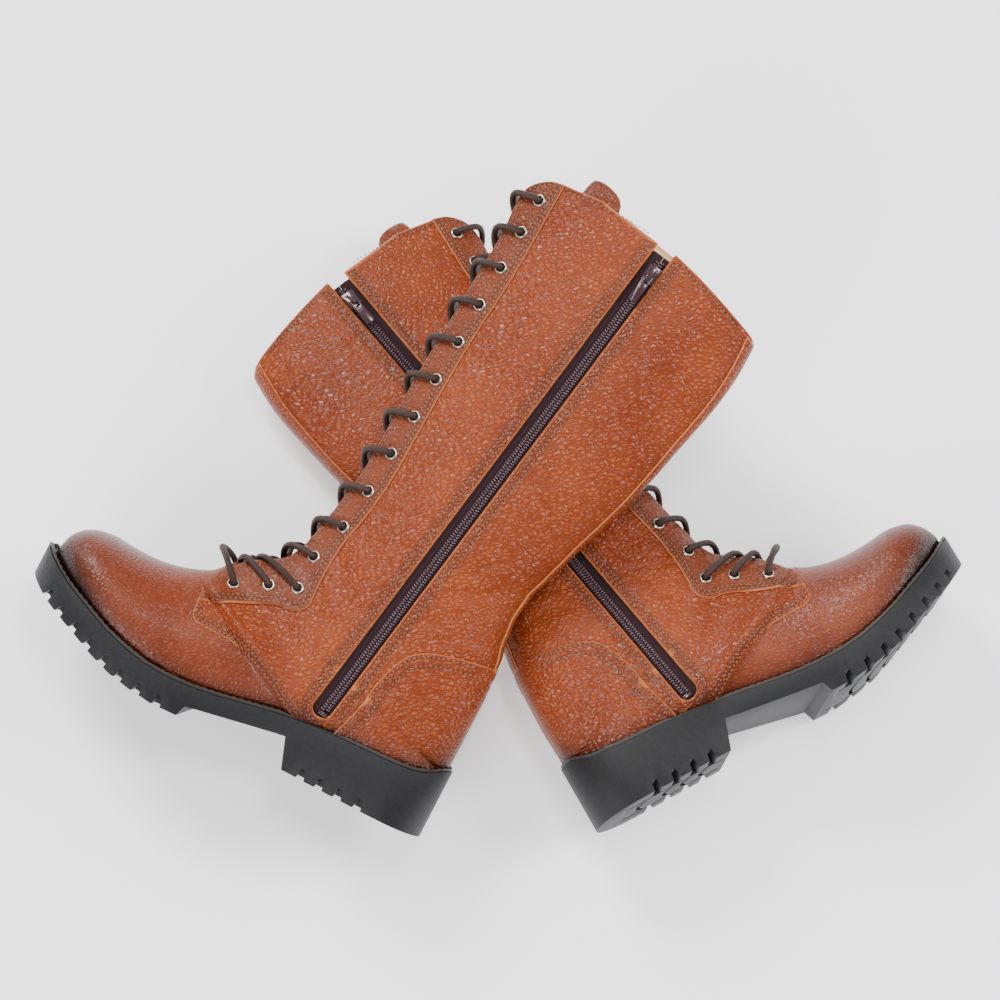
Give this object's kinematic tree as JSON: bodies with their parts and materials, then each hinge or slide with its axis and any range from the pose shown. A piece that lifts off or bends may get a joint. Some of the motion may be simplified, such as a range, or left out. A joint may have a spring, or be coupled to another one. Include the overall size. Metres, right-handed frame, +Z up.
{
  "type": "fire boots",
  "caption": "Pair of tall lace-up leather fire boots with a side zip, lug soles and a high shaft, lying crossed on their sides.",
  "frame": {"origin": "middle of the floor under the pair, at the centre of its bounding box", "axes": "+X along the longest side of the pair, from the toe of the right boot to the toe of the left boot; +Y from the heels to the collars; +Z up from the floor the boots lie on"},
  "size_m": [0.6216, 0.4392, 0.1709],
  "materials": {
    "tan_leather": "waxed full-grain, softly creased",
    "lining_leather": "smooth unfinished",
    "welt_leather": "dark waxed edge",
    "sole_rubber": "moulded matt",
    "fibre_board": "pressed board",
    "spring_steel": "blued strip",
    "nickel": "nickel plated, satin",
    "waxed_cord": "braided, waxed",
    "zip_tape": "woven twill tape",
    "bronze": "painted dark brown, satin"
  },
  "bodies": {
    "left_boot": {"left_outsole": "sole_rubber", "left_welt": "welt_leather", "left_shank": "spring_steel", "left_insole_board": "fibre_board", "left_footbed": "lining_leather", "left_vamp": "tan_leather", "left_quarter_zip_side": "tan_leather", "left_rear_panel": "tan_leather", "left_quarter_outer_side": "tan_leather", "left_heel_counter_cover": "tan_leather", "left_back_strip": "tan_leather", "left_facing_zip_side": "tan_leather", "left_facing_outer_side": "tan_leather", "left_heel_stiffener": "fibre_board", "left_toe_puff": "fibre_board", "left_lining_outer_side": "lining_leather", "left_lining_front": "lining_leather", "left_lining_rear": "lining_leather", "left_tongue": "tan_leather", "left_eyelets_zip_side": "nickel", "left_eyelets_outer_side": "nickel", "left_lace": "waxed_cord", "left_zip_tape_front": "zip_tape", "left_zip_tape_rear": "zip_tape", "left_zip_stop": "bronze"},
    "left_zip_slider": {"left_zip_slider": "bronze"},
    "left_zip_puller": {"left_zip_pull": "bronze"},
    "right_boot": {"right_outsole": "sole_rubber", "right_welt": "welt_leather", "right_shank": "spring_steel", "right_insole_board": "fibre_board", "right_footbed": "lining_leather", "right_vamp": "tan_leather", "right_quarter_zip_side": "tan_leather", "right_rear_panel": "tan_leather", "right_quarter_outer_side": "tan_leather", "right_heel_counter_cover": "tan_leather", "right_back_strip": "tan_leather", "right_facing_zip_side": "tan_leather", "right_facing_outer_side": "tan_leather", "right_heel_stiffener": "fibre_board", "right_toe_puff": "fibre_board", "right_lining_outer_side": "lining_leather", "right_lining_front": "lining_leather", "right_lining_rear": "lining_leather", "right_tongue": "tan_leather", "right_eyelets_zip_side": "nickel", "right_eyelets_outer_side": "nickel", "right_lace": "waxed_cord", "right_zip_tape_front": "zip_tape", "right_zip_tape_rear": "zip_tape", "right_zip_stop": "bronze"},
    "right_zip_slider": {"right_zip_slider": "bronze"},
    "right_zip_puller": {"right_zip_pull": "bronze"}
  },
  "joints": [
    {"name": "right_boot_lift", "type": "slide", "parent": "left_boot", "child": "right_boot", "axis": [0, 0, 1], "range_m": [0, 0.28]},
    {"name": "left_zip_slide", "type": "slide", "parent": "left_boot", "child": "left_zip_slider", "axis": [0.6169, -0.7802, 0.1029], "range_m": [0, 0.3498]},
    {"name": "left_puller_hinge", "type": "hinge", "parent": "left_zip_slider", "child": "left_zip_puller", "pos_m": [-0.1009, 0.15014, 0.05221], "axis": [-0.784, -0.6207, -0.0061], "range_deg": [0, 150]},
    {"name": "right_zip_slide", "type": "slide", "parent": "right_boot", "child": "right_zip_slider", "axis": [-0.5899, -0.7838, -0.1943], "range_m": [0, 0.3498]},
    {"name": "right_puller_hinge", "type": "hinge", "parent": "right_zip_slider", "child": "right_zip_puller", "pos_m": [0.08927, 0.13391, 0.16769], "axis": [-0.8042, 0.5918, 0.0544], "range_deg": [0, 150]}
  ]
}
